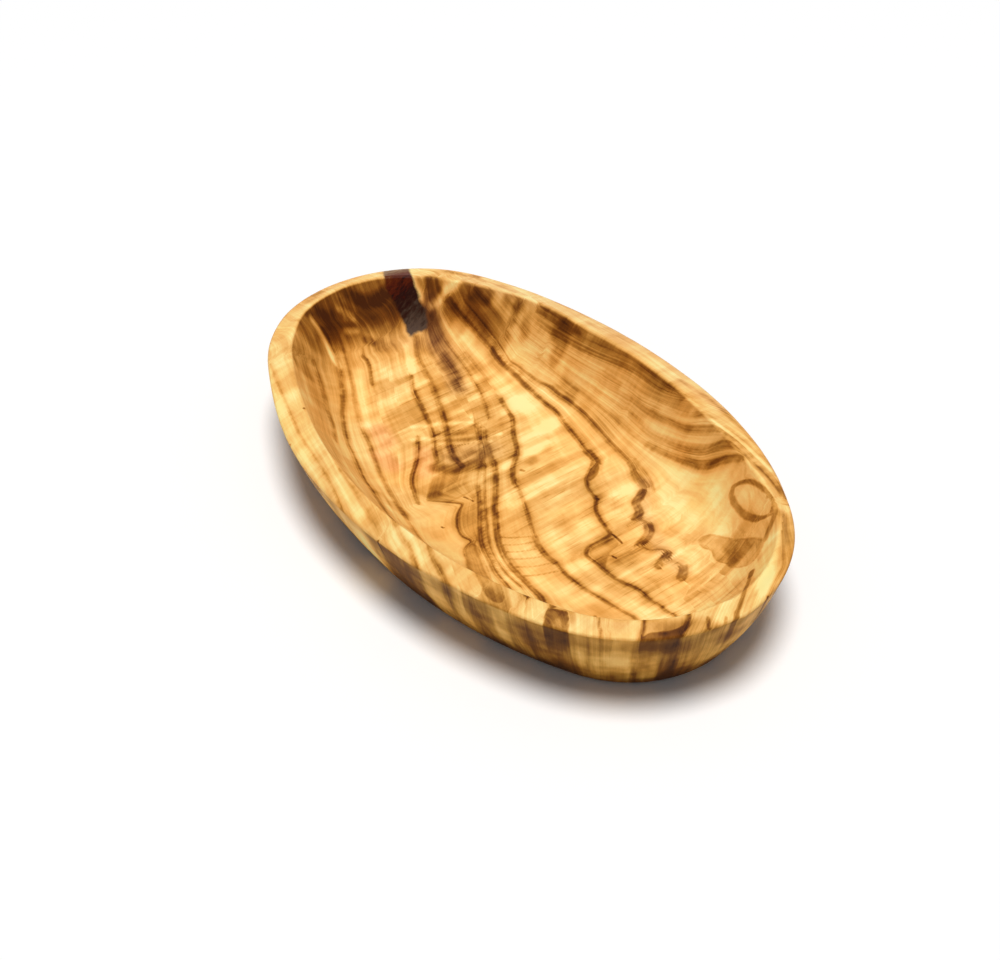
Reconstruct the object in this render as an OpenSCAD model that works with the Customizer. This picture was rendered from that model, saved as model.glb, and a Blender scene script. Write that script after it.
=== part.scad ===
// A shallow oval dish carved from one block of olive wood, with a broad sloping rim and a smooth hollow.
// Lengths are in millimetres. The base stands on the plane z = 0 and the long axis lies along X.

/* [Outline] */
// Overall length of the dish, across its rim
dish_length = 160; // [140:1:220]
// Overall width of the dish, across its rim
dish_width = 97; // [88:1:130]
// Overall height, from the table to the highest line of the rim
dish_height = 24.5; // [18:0.5:40]

/* [Rim] */
// Width of the rim's top face, seen from above
rim_width = 6; // [4:0.5:9]
// How far the rim's top face falls from its inner edge to its outer edge
rim_fall = 1.3; // [0:0.1:2.5]
// Rounding of the rim's outer edge
rim_outer_round = 1.2; // [0.3:0.1:2]
// Rounding of the rim's inner edge
rim_inner_round = 0.9; // [0.3:0.1:2]

/* [Outer wall] */
// How far the foot's edge stands in from the rim, all the way round
foot_inset = 8.5; // [4:0.5:13]
// How far the outer wall bellies out beyond a straight slope, at half its height
wall_belly = 1; // [0.2:0.1:2]
// Rounding where the outer wall turns under into the base
foot_round = 2.5; // [0.5:0.1:5]

/* [Hollow] */
// Thickness of the wood under the floor of the hollow
floor_thickness = 9; // [4:0.5:12]
// How far the floor's flat part starts from the rim's inner edge, seen from above
hollow_run = 19; // [14:0.5:24]
// Radius of the curve that joins the inner wall to the floor
hollow_round = 16; // [4:0.5:20]

/* [Hidden] */
// Smoothness of the round surfaces
$fn = 160;
// Steps in each rounded corner of the section
corner_steps = 10;
// The largest hollow curve and wall belly, as a share of what their walls leave room for
room_share = 0.9;
// How far the floor's middle overlaps the wall arcs, as a share of the end radius
overlap_share = 0.15;
// Steps that the outline's lead and the section's points are rounded to, so that neighbouring arcs meet
outline_step = 0.06;
section_step = 0.001;

function rounded(length, step) = round(length / step) * step;

// The outline is an oval of four arcs. Their centres are the corners of four right triangles with
// sides in the proportion 8 to 15 to 17, so each end arc runs into its side arcs without a kink.
half_length = dish_length / 2;
lead = rounded(half_length - dish_width / 2, outline_step);
end_x = lead * 4 / 3;
side_y = end_x * 15 / 8;
end_radius = half_length - end_x;
side_radius = end_radius + end_x * 17 / 8;

hollow_depth = dish_height - floor_thickness;
hollow_room = (pow(hollow_run + rim_inner_round, 2) + pow(hollow_depth, 2)) / (2 * hollow_depth) - rim_inner_round;
hollow_curve = min(hollow_round, room_share * hollow_room);

// Corners of the section, each as its rounding's centre (distance in from the rim, height) and radius.
// A corner that bends inward has its radius written below zero.
base_middle = [end_radius, 0, 0];
foot = [foot_inset + foot_round, foot_round, foot_round];
rim_outer = [rim_outer_round, dish_height - rim_fall - rim_outer_round, rim_outer_round];
rim_inner = [rim_width - rim_inner_round, dish_height - rim_inner_round, rim_inner_round];
hollow_foot = [rim_width + hollow_run, floor_thickness + hollow_curve, -hollow_curve];
floor_middle = [end_radius, floor_thickness, 0];

function centre(corner) = [corner[0], corner[1]];
function outward(angle) = [cos(angle), sin(angle)];
function within_half_turn(angle) = angle - 360 * round(angle / 360);

// Direction that the line touching corners a and b faces, seen from the wood
function facing(a, b) =
    let (step = centre(b) - centre(a))
    atan2(step[1], step[0]) + acos((a[2] - b[2]) / norm(step));

// Points along the rounding of corner b, on the way from a to c
function rounding(a, b, c) =
    let (from = facing(a, b))
    let (turn = within_half_turn(facing(b, c) - from))
    [for (i = [0:corner_steps]) centre(b) + b[2] * outward(from + turn * i / corner_steps)];

// The outer wall's belly: a wide rounding that stands proud of the straight wall by wall_belly
wall_facing = facing(foot, rim_outer);
wall_low = centre(foot) + foot[2] * outward(wall_facing);
wall_high = centre(rim_outer) + rim_outer[2] * outward(wall_facing);
belly_radius = room_share * pow(norm(wall_high - wall_low) / 2, 2) / (2 * wall_belly);
belly_centre = (wall_low + wall_high) / 2 + (wall_belly - belly_radius) * outward(wall_facing);
belly = [belly_centre[0], belly_centre[1], belly_radius];

section = concat(
    [centre(base_middle)],
    rounding(base_middle, foot, belly),
    rounding(foot, belly, rim_outer),
    rounding(belly, rim_outer, rim_inner),
    rounding(rim_outer, rim_inner, hollow_foot),
    rounding(rim_inner, hollow_foot, floor_middle),
    [centre(floor_middle)]
);

// The section carried round a full circle
module wall_ring(radius) {
    rotate_extrude()
        polygon([for (p = section) [radius - rounded(p[0], section_step), rounded(p[1], section_step)]]);
}

// One arc of the wall: the part of a ring that lies between two lines from the ring's centre
module wall_arc(radius, middle, side_a, side_b) {
    intersection() {
        translate([middle[0], middle[1], 0]) wall_ring(radius);
        linear_extrude(height = dish_height) polygon([middle, side_a, side_b]);
    }
}

// The flat middle of the floor, which joins the wall arcs into one piece
module floor_plate() {
    reach = side_radius - (1 - overlap_share) * end_radius;
    linear_extrude(height = floor_thickness)
        intersection() {
            translate([0, -side_y]) circle(r = reach);
            translate([0, side_y]) circle(r = reach);
        }
}

// Where the lines between neighbouring arcs end, well outside the dish
line_x = 4 * end_x;
line_y = 3 * side_y;

module dish_body() {
    color([0.80, 0.58, 0.30])
        union() {
            wall_arc(end_radius, [end_x, 0], [line_x, -line_y], [line_x, line_y]);
            wall_arc(side_radius, [0, -side_y], [line_x, line_y], [-line_x, line_y]);
            wall_arc(end_radius, [-end_x, 0], [-line_x, line_y], [-line_x, -line_y]);
            wall_arc(side_radius, [0, side_y], [-line_x, -line_y], [line_x, -line_y]);
            floor_plate();
        }
}

dish_body();
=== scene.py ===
# %% [markdown]
# # An oval dish of olive wood
#
# This lesson dresses a CAD part so that it looks like a photograph of the real thing: a shallow dish
# carved from one block of olive wood, oiled, standing on a pale floor. The CAD part gives the size and
# the place of everything. Blender adds the carver's unevenness, the grain, the knots and the gloss.

# %% Load the CAD part as a fixed frame
import math
from functools import partial

import bmesh
import bpy
import numpy as np
from mathutils import Matrix, Vector
from mathutils.bvhtree import BVHTree


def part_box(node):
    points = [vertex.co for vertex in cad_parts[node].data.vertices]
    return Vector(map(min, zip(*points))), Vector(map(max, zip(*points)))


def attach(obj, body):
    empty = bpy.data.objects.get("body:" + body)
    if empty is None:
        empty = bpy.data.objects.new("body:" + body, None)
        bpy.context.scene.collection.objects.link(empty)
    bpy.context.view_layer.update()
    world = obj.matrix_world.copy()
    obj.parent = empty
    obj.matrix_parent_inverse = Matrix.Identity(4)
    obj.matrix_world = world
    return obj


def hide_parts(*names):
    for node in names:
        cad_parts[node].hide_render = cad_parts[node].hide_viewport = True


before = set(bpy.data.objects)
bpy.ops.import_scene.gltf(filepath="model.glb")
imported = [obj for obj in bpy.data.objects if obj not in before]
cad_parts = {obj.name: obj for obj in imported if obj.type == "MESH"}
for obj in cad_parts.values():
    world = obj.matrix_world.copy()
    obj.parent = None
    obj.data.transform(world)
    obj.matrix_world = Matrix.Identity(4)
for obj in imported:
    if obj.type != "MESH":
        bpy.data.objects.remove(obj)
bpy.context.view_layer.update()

MM = 0.001
dish_low, dish_high = (Vector(corner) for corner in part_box("dish_body"))
dish_length, dish_width, dish_height = dish_high - dish_low
print("The dish is", [round(side / MM, 1) for side in (dish_length, dish_width, dish_height)], "mm")

# %% [markdown]
# ## The camera
#
# A dish seen at a slant looks like a squashed oval, and the amount of squash tells where the camera
# stood. Here the rim is equally wide all round only if the camera looks down at about 40 degrees, so
# that is the angle used. The camera comes first because the grain is later placed through it.

# %% Place the camera where the photographer stood
photo_width, photo_height = 1000, 960
focal_length_px = 1606
sensor_width_mm = 36
camera_place = Vector((238.9, -187.5, 264.0)) * MM
camera_azimuth = math.radians(52.47)
camera_elevation = math.radians(40.25)


def put_in_scene(name, data):
    """Makes an object of the given data and adds it to the scene."""
    made = bpy.data.objects.new(name, data)
    bpy.context.scene.collection.objects.link(made)
    return made


camera_data = bpy.data.cameras.new("photo_camera")
camera_data.sensor_width = sensor_width_mm
camera_data.lens = focal_length_px / photo_width * sensor_width_mm
camera_data.clip_start = 0.01
camera = put_in_scene("photo_camera", camera_data)
camera.matrix_world = (
    Matrix.Translation(camera_place)
    @ Matrix.Rotation(camera_azimuth, 4, "Z")
    @ Matrix.Rotation(math.pi / 2 - camera_elevation, 4, "X")
)
bpy.context.scene.camera = camera
print("The camera looks down at", round(math.degrees(camera_elevation)), "degrees")


# %% [markdown]
# ## Small helpers for node trees
#
# Both the dish's shape and its finish are built from nodes, and could also be wired by hand in the node
# editor. Written out, they can be read and changed in one place. One helper adds a node, sets its
# options and feeds its inputs. The others do arithmetic. A socket knows which tree it belongs to, so
# they need no tree of their own.

# %% Helpers that add nodes
def add_node(tree, kind, feeds=(), **options):
    """Adds a node, sets its options, and links or sets its inputs by name or number."""
    made = tree.nodes.new(kind)
    for option, value in options.items():
        setattr(made, option, value)
    for key, value in dict(feeds).items():
        if isinstance(value, bpy.types.NodeSocket):
            tree.links.new(value, made.inputs[key])
        else:
            made.inputs[key].default_value = value
    return made


def calc(operation, *values, clamp=False):
    """One step of arithmetic on sockets or plain numbers, at least one of them a socket."""
    tree = next(value.id_data for value in values if isinstance(value, bpy.types.NodeSocket))
    made = add_node(tree, "ShaderNodeMath", enumerate(values), operation=operation, use_clamp=clamp)
    return made.outputs[0]


def remap(value, low, high, to_low=0.0, to_high=1.0, smooth=False):
    """Stretches a value's range to a new one, and holds it at the new range's ends."""
    return add_node(
        value.id_data,
        "ShaderNodeMapRange",
        {"Value": value, "From Min": low, "From Max": high, "To Min": to_low, "To Max": to_high},
        interpolation_type="SMOOTHSTEP" if smooth else "LINEAR",
    ).outputs["Result"]


times = partial(calc, "MULTIPLY")
plus = partial(calc, "ADD")
minus = partial(calc, "SUBTRACT")
over = partial(calc, "DIVIDE")
times_plus = partial(calc, "MULTIPLY_ADD")
larger = partial(calc, "MAXIMUM")
print("Ready: add_node, calc, remap, times, plus, minus, over, times_plus and larger")

# %% [markdown]
# ## The dish's shape
#
# The real dish was band-sawn to an oval, hollowed with a cutter and sanded by hand. It could be sculpted,
# or cut from a block with Booleans. But its wall has one section all the way round, so the shape follows
# a rule: take the section, carry it round an oval of four arcs, and shrink what is left in the middle to
# a point, above for the floor and below for the base. A Geometry Nodes tree does this on a grid. One side
# of the grid runs round the oval, and the other runs from the middle of the base, up the wall, over the
# rim and down to the middle of the floor.

# %% Sizes of the section
# Each corner has its inset from the oval and its height, and then the radius that eases it, all in
# millimetres.
rim_inner_inset = 5.45
floor_inset, floor_height = 25.0, 9.0
section_corners = {
    "Foot": ((9.6, 0.0), 2.5),
    "Belly": ((3.35, 11.2), 70.0),
    "Rim outer": ((0.0, 22.9), 0.45),
    "Rim inner": ((rim_inner_inset, 24.66), 0.5),
    "Hollow": ((16.9, floor_height), 16.0),
}
print("The section has", len(section_corners), "corners")

# %% How far the carver strayed
# A saw and a cutter led by hand leave the true oval. Each pair is a share of one turn from the right
# end, and how far the rim's outer or inner edge stands out there, in millimetres. So the rim is wide
# at the far side and narrow at the near end. The foot keeps to the oval. On the left the rim's outer
# edge is sanded lower, and the drops tell by how much.
outer_strays = [
    (0.0, 0.0), (0.07, -0.4), (0.15, 0.9), (0.29, -0.3), (0.4, 0.5), (0.5, 0.0), (0.53, 0.0), (0.59, -0.7),
    (0.69, 0.4), (0.75, 0.0), (0.87, 0.3), (0.94, -0.8), (1.0, 0.0),
]
inner_strays = [
    (0.0, 1.0), (0.1, 1.0), (0.15, -0.4), (0.29, -1.5), (0.36, 0.1), (0.41, -1.5), (0.5, 0.4), (0.54, 0.1),
    (0.6, -1.5), (0.7, -0.6), (0.78, 0.1), (0.89, 0.7), (0.94, 0.3), (1.0, 1.0),
]
rim_drops = [
    (0.0, 0.0), (0.63, 0.0), (0.68, 1.0), (0.72, 1.3), (0.785, 1.1), (0.81, 0.8), (0.84, 0.0), (1.0, 0.0),
]
unevenness = 2.0 * MM
print("The edges stray by up to", max(abs(stray) for _, stray in outer_strays + inner_strays), "mm")

# %% Name the tree's inputs and give them their values
olive_wood = bpy.data.materials.new("olive_wood")
olive_wood.use_nodes = True
dish_inputs = {
    "Length": ("Float", dish_length),
    "Width": ("Float", dish_width),
    "Height": ("Float", dish_height),
    "Unevenness": ("Float", unevenness),
    "Dip depth": ("Float", 0.15 * MM),
    "Dip spacing": ("Float", 9.0 * MM),
    "Base middle": ("Vector", (floor_inset * MM, 0.0, 0.0)),
    "Floor middle": ("Vector", (floor_inset * MM, 0.0, floor_height * MM)),
    "Steps around": ("Int", 512),
    "Base rows": ("Int", 6),
    "Section rows": ("Int", 124),
    "Floor rows": ("Int", 60),
    "Seed": ("Int", 7),
    "Wood": ("Material", olive_wood),
}
for name, ((inset, height), easing) in section_corners.items():
    dish_inputs[name + " corner"] = ("Vector", (inset * MM, 0.0, height * MM))
    dish_inputs[name + " easing"] = ("Float", easing * MM)

dish_tree = bpy.data.node_groups.new("carved_dish", "GeometryNodeTree")
for name, (kind, _) in dish_inputs.items():
    dish_tree.interface.new_socket(name, in_out="INPUT", socket_type="NodeSocket" + kind)
dish_tree.interface.new_socket("Dish", in_out="OUTPUT", socket_type="NodeSocketGeometry")
given = add_node(dish_tree, "NodeGroupInput").outputs
print("The tree takes", len(dish_inputs), "inputs")

# %% [markdown]
# ### The grid and the section
#
# The section could be a drawn curve that is swept along the oval, but a sweep can't close the floor and
# the base. A flat grid can: its place across gives the turn round the oval, and its row is looked up
# along the section's curve. Rows before and after the section shrink to the middle.

# %% A flat grid to bend
rows = plus(plus(given["Base rows"], given["Section rows"]), given["Floor rows"])
grid = add_node(
    dish_tree,
    "GeometryNodeMeshGrid",
    {
        "Size X": 1.0,
        "Size Y": 1.0,
        "Vertices X": plus(given["Steps around"], 1),
        "Vertices Y": plus(rows, 1),
    },
)
grid_position = add_node(dish_tree, "GeometryNodeInputPosition").outputs[0]
grid_place = add_node(dish_tree, "ShaderNodeSeparateXYZ", {0: grid_position}).outputs
turn = plus(grid_place["X"], 0.5)
row = times(plus(grid_place["Y"], 0.5), rows)
base_share = over(row, given["Base rows"], clamp=True)
floor_share = over(minus(rows, row), given["Floor rows"], clamp=True)
from_middle = times(base_share, floor_share)
along_section = over(minus(row, given["Base rows"]), given["Section rows"], clamp=True)
print("The tree has", len(dish_tree.nodes), "nodes after the grid")

# %% The section as a curve, with its inset along X and its height along Z
section_ends = [given[name + " corner"] for name in section_corners]
section_ends = [given["Base middle"], *section_ends, given["Floor middle"]]
section_line = add_node(dish_tree, "GeometryNodeMeshLine", {"Count": len(section_ends)}).outputs[0]
end_number = add_node(dish_tree, "GeometryNodeInputIndex").outputs[0]
end_places = add_node(dish_tree, "GeometryNodeIndexSwitch", {0: end_number}, data_type="VECTOR")
end_radii = add_node(dish_tree, "GeometryNodeIndexSwitch", {0: end_number}, data_type="FLOAT")
for switch in (end_places, end_radii):
    while len(switch.index_switch_items) < len(section_ends):
        switch.index_switch_items.new()
for number, corner in enumerate(section_ends):
    dish_tree.links.new(corner, end_places.inputs[1 + number])
for number, name in enumerate(section_corners):
    dish_tree.links.new(given[name + " easing"], end_radii.inputs[2 + number])


def pass_on(geometry, kind, feeds=(), **options):
    """Passes a geometry through one more node."""
    return add_node(dish_tree, kind, {0: geometry, **dict(feeds)}, **options).outputs[0]


section = pass_on(section_line, "GeometryNodeSetPosition", {"Position": end_places.outputs[0]})
section = pass_on(section, "GeometryNodeMeshToCurve")
section = pass_on(
    section,
    "GeometryNodeFilletCurve",
    {"Count": 16, "Radius": end_radii.outputs[0], "Limit Radius": True},
    mode="POLY",
)
section_spot = add_node(
    dish_tree, "GeometryNodeSampleCurve", {"Curves": section, "Factor": along_section}, mode="FACTOR"
).outputs["Position"]
section_place = add_node(dish_tree, "ShaderNodeSeparateXYZ", {0: section_spot}).outputs
print("The section's curve has", len(section_ends), "ends and corners")

# %% [markdown]
# ### The carver's strays
#
# A carver's edge is never quite true. Noise could shake it, but the photograph shows where this rim is
# wide and where it is narrow. So a float curve is drawn through the measured strays, one for each edge,
# and the wall between the edges blends from one to the other.

# %% Strays of the rim and a lower edge on the left
def stray_curve(strays):
    """How far an edge stands out after a share of one turn."""
    made = add_node(dish_tree, "ShaderNodeFloatCurve", {"Value": turn})
    points = made.mapping.curves[0].points
    while len(points) < len(strays):
        points.new(0.5, 0.5)
    for point, (place, stray) in zip(points, strays):
        point.location = (place, 0.5 + stray * MM / unevenness / 2)
    made.mapping.update()
    return times(times_plus(made.outputs[0], 2.0, -1.0), given["Unevenness"])


true_inset, true_height = section_place["X"], section_place["Z"]
half_rim = 3 * MM
blend_start, blend_end = -2.5 * MM, 2 * MM
wall_middle = times_plus(minus(given["Height"], true_height), 0.5, half_rim)
inner_share = remap(minus(true_inset, wall_middle), blend_start, blend_end, smooth=True)
outer_stray = stray_curve(outer_strays)
inner_stray = stray_curve(inner_strays)
stray = times_plus(minus(inner_stray, outer_stray), inner_share, outer_stray)
carved_inset = minus(true_inset, times(stray, over(true_height, given["Height"])))

drop_start, drop_end = 12 * MM, 22 * MM
outer_edge = remap(true_inset, 0.0, rim_inner_inset * MM, 1.0, 0.0)
outer_edge = times(outer_edge, remap(true_height, drop_start, drop_end))
carved_height = minus(true_height, times(larger(stray_curve(rim_drops), 0.0), outer_edge))
print("The edges follow", len(outer_strays), "and", len(inner_strays), "strays")

# %% [markdown]
# ### The oval
#
# The plan is an oval of four arcs, as a joiner draws it with compasses: two small arcs at the ends and
# two large ones at the sides. The arcs meet on the long side of a right triangle with sides of 8, 15 and
# 17, so all its lengths follow from the dish's length and width. A stretched circle would be simpler,
# but its ends are too pointed.

# %% Go round the oval
leg_x, leg_y, leg_long = 8, 15, 17
end_rule = leg_x / (leg_x + leg_y - leg_long) / 2
end_turn = math.atan2(leg_y, leg_x)
side_turn = math.pi / 2 - end_turn


def oval_ring(turn, length, width, inset):
    """The place on the oval, drawn in by an inset, after a share of one turn round it."""
    end_x = times(minus(length, width), end_rule)
    side_y = times(end_x, leg_y / leg_x)
    end_radius = minus(times(length, 0.5), end_x)
    side_radius = plus(end_radius, times(end_x, leg_long / leg_x))
    end_arc = times(end_radius, end_turn)
    end_share = over(end_arc, plus(end_arc, times(side_radius, side_turn)))

    quarters = times(turn, 4)
    fold = calc("PINGPONG", quarters, 1.0)
    end_angle = remap(fold, 0.0, end_share, 0.0, end_turn)
    angle = plus(end_angle, remap(fold, end_share, 1.0, 0.0, side_turn))
    on_end = calc("LESS_THAN", fold, end_share)
    on_side = minus(1.0, on_end)
    radius = minus(plus(times(on_end, end_radius), times(on_side, side_radius)), inset)
    x = times_plus(radius, calc("COSINE", angle), times(on_end, end_x))
    y = minus(times(radius, calc("SINE", angle)), times(on_side, side_y))
    heading = times(quarters, math.pi / 2)
    x = times(x, calc("SIGN", calc("COSINE", heading)))
    y = times(y, calc("SIGN", calc("SINE", heading)))
    return x, y


ring_x, ring_y = oval_ring(turn, given["Length"], given["Width"], carved_inset)
dish_place = add_node(
    dish_tree,
    "ShaderNodeCombineXYZ",
    {"X": times(ring_x, from_middle), "Y": times(ring_y, from_middle), "Z": carved_height},
).outputs[0]
print("The tree has", len(dish_tree.nodes), "nodes after the oval")

# %% [markdown]
# ### Sanding and closing
#
# Sanding by hand leaves dips that are only felt, or seen in the gloss. A bump in the material could
# fake them, but real dips also stay in the mesh. Noise presses them into the surface, and none
# into the base, on which the dish stands. Before that, the grid's seam and its two middles are welded.

# %% Dips in the sanded surface
dips_start, dips_end = 0.5 * MM, 4 * MM
shell_position = add_node(dish_tree, "GeometryNodeInputPosition").outputs[0]
dips = add_node(
    dish_tree,
    "ShaderNodeTexNoise",
    {"Vector": shell_position, "W": given["Seed"], "Scale": over(1.0, given["Dip spacing"]), "Detail": 1.0},
    noise_dimensions="4D",
).outputs["Fac"]
shell_height = add_node(dish_tree, "ShaderNodeSeparateXYZ", {0: shell_position}).outputs["Z"]
above_base = remap(shell_height, dips_start, dips_end)
dip = times(times(times(dips, given["Dip depth"]), above_base), -1.0)
shell_normal = add_node(dish_tree, "GeometryNodeInputNormal").outputs[0]
inward = add_node(
    dish_tree, "ShaderNodeVectorMath", {0: shell_normal, "Scale": dip}, operation="SCALE"
).outputs[0]
print("The dips start", dips_start / MM, "mm above the base")

# %% Close the shell and finish the tree
weld_distance = 0.01 * MM
bent = pass_on(grid.outputs["Mesh"], "GeometryNodeSetPosition", {"Position": dish_place})
closed = pass_on(bent, "GeometryNodeMergeByDistance", {"Distance": weld_distance})
sanded = pass_on(closed, "GeometryNodeSetPosition", {"Offset": inward})
realized = pass_on(sanded, "GeometryNodeRealizeInstances")
smooth = pass_on(realized, "GeometryNodeSetShadeSmooth")
finished = pass_on(smooth, "GeometryNodeSetMaterial", {"Material": given["Wood"]})
add_node(dish_tree, "NodeGroupOutput", {0: finished})
print("The finished tree has", len(dish_tree.nodes), "nodes")

# %% [markdown]
# ### From the tree to a plain mesh
#
# A live modifier would work out the shape again at each change. The grain is laid on the finished
# vertices, and the export wants plain meshes, so the tree is run once and its result is kept. Then the
# faces are turned to point outwards, and a count of open edges proves that the shell is closed.

# %% Run the tree and keep its result
source = put_in_scene("carved_dish_source", bpy.data.meshes.new("carved_dish_source"))
modifier = source.modifiers.new("tree", "NODES")
modifier.node_group = dish_tree
for socket in dish_tree.interface.items_tree:
    if socket.in_out == "INPUT":
        modifier[socket.identifier] = dish_inputs[socket.name][1]
evaluated = source.evaluated_get(bpy.context.evaluated_depsgraph_get())
mesh = bpy.data.meshes.new_from_object(evaluated)
bpy.data.objects.remove(source)
dish = put_in_scene("carved_dish", mesh)

shell = bmesh.new()
shell.from_mesh(mesh)
bmesh.ops.recalc_face_normals(shell, faces=shell.faces)
shell.to_mesh(mesh)
open_edges = sum(not edge.is_manifold for edge in shell.edges)
shell.free()
print("The dish has", len(mesh.polygons), "faces and", open_edges, "open edges")

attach(dish, "root")
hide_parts("dish_body")

# %% [markdown]
# ## Reading the grain from the photograph
#
# Olive wood grows in wavy rings, and a saw opens them as dark lines that run the length of the dish.
# Noise alone gives lines of the right kind, but not these lines. The rings stand almost upright in this
# block, so a line on the floor goes on over the rim and down the outside, and one flat plan of the grain
# is enough for the whole dish. Each line below was followed on the photograph. A ray through each
# of its pixels finds the spot on the dish, and the spot's X and Y go into the plan.

# %% Cast photo pixels onto the dish
surface = BVHTree.FromPolygons([v.co for v in mesh.vertices], [p.vertices for p in mesh.polygons])
camera_turn = camera.matrix_world.to_3x3()
dish_middle_pixel = (532, 470)


def plan_of(pixels, outer_wall=False):
    """The places in plan, in millimetres, that photo pixels show on the dish or beside its rim."""
    found = []
    for across, down in pixels:
        ray = camera_turn @ Vector((across - photo_width / 2, photo_height / 2 - down, -focal_length_px))
        spot, facing = surface.ray_cast(camera_place, ray)[:2]
        if spot is None or (facing.z < 0 and not outer_wall):
            spot = camera_place + ray * ((dish_height - camera_place.z) / ray.z)
        found.append((spot.x / MM, spot.y / MM))
    return np.array(found)


print("The dish's middle is at", np.round(plan_of([dish_middle_pixel])[0], 1), "mm in plan")

# %% Helpers for paths in plan
far_off = 8.0
no_length = 1e-9


def eased(path, closed=False):
    """Rounds a path's corners by cutting them twice."""
    for _ in range(2):
        ahead = np.roll(path, -1, axis=0) if closed else path[1:]
        behind = path if closed else path[:-1]
        cut = np.stack([0.75 * behind + 0.25 * ahead, 0.25 * behind + 0.75 * ahead], axis=1).reshape(-1, 2)
        path = cut if closed else np.vstack([path[:1], cut, path[-1:]])
    return path


def distance_to(path, places, closed=False, limit=far_off):
    """How far each place is from a path, up to the farthest that matters."""
    ends = np.roll(path, -1, axis=0) if closed else path[1:]
    starts = path if closed else path[:-1]
    within = np.all((places > path.min(axis=0) - limit) & (places < path.max(axis=0) + limit), axis=1)
    close_places = places[within]
    nearest = np.full(len(close_places), limit)
    for start, end in zip(starts, ends):
        along = end - start
        share = np.clip((close_places - start) @ along / max(along @ along, no_length), 0.0, 1.0)
        apart = close_places - start - share[:, None] * along
        nearest = np.minimum(nearest, np.hypot(apart[:, 0], apart[:, 1]))
    distance = np.full(len(places), limit)
    distance[within] = nearest
    return distance


def inside_of(path, places):
    """Whether each place is inside a closed path, by counting the edges to its right."""
    crossed = np.zeros(len(places), bool)
    for (x0, y0), (x1, y1) in zip(path, np.roll(path, -1, axis=0)):
        if y0 != y1:
            spans = (places[:, 1] > y0) != (places[:, 1] > y1)
            crossed ^= spans & (places[:, 0] < x0 + (places[:, 1] - y0) * (x1 - x0) / (y1 - y0))
    return crossed


def fade(value, low, high):
    """Falls smoothly from 1 at low to 0 at high."""
    share = np.clip((high - value) / (high - low), 0.0, 1.0)
    return share * share * (3 - 2 * share)


print("A path is felt up to", far_off, "mm away")

# %% Read the vertices
vertex_places = np.empty(3 * len(mesh.vertices))
mesh.vertices.foreach_get("co", vertex_places)
vertex_normals = np.empty(3 * len(mesh.vertices))
mesh.vertices.foreach_get("normal", vertex_normals)
vertex_plan = vertex_places.reshape(-1, 3)[:, :2] / MM
vertex_height = vertex_places[2::3]
vertex_upward = vertex_normals[2::3]
faces_up = vertex_upward > 0
print(np.count_nonzero(faces_up), "vertices face up and", np.count_nonzero(~faces_up), "face down")

# %% [markdown]
# ## The grain of the outside
#
# The outside leans in towards the foot. Read straight from above, it would repeat the grain of the
# hollow, though the real rings go down almost upright from the rim. So its places are read near the
# rim's outline instead, and the shift dies away towards the middle of the base.

# %% Carry the rim's grain straight down the outside
end_x = (dish_length - dish_width) / MM * end_rule
end_radius = dish_length / MM / 2 - end_x
side_radius = end_radius + end_x * leg_long / leg_x
foot_inset, shift_length = 8.5, 25.0
shift_share = 0.75


def inset_of(places):
    """How far inside the oval each place is, and the direction to the oval's nearest point."""
    folded = np.abs(places)
    on_end = folded[:, 1] * leg_x < (folded[:, 0] - end_x) * leg_y
    from_centre = folded + np.where(on_end[:, None], (-end_x, 0.0), (0.0, end_x * leg_y / leg_x))
    arm = np.hypot(from_centre[:, 0], from_centre[:, 1])
    outward = np.where(places < 0, -1.0, 1.0) * from_centre / arm[:, None]
    return np.where(on_end, end_radius, side_radius) - arm, outward


def at_rim(places):
    """Where the outside's places are read in the plan."""
    inset, outward = inset_of(places)
    shift = np.clip(inset, 0.0, foot_inset) * np.clip(1 - (inset - foot_inset) / shift_length, 0.0, 1.0)
    return places + outward * shift[:, None] * shift_share


vertex_inset = inset_of(vertex_plan)[0]
vertex_plan = np.where(faces_up[:, None], vertex_plan, at_rim(vertex_plan))
print("The vertices reach", round(vertex_inset.max(), 1), "mm in from the oval")
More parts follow.
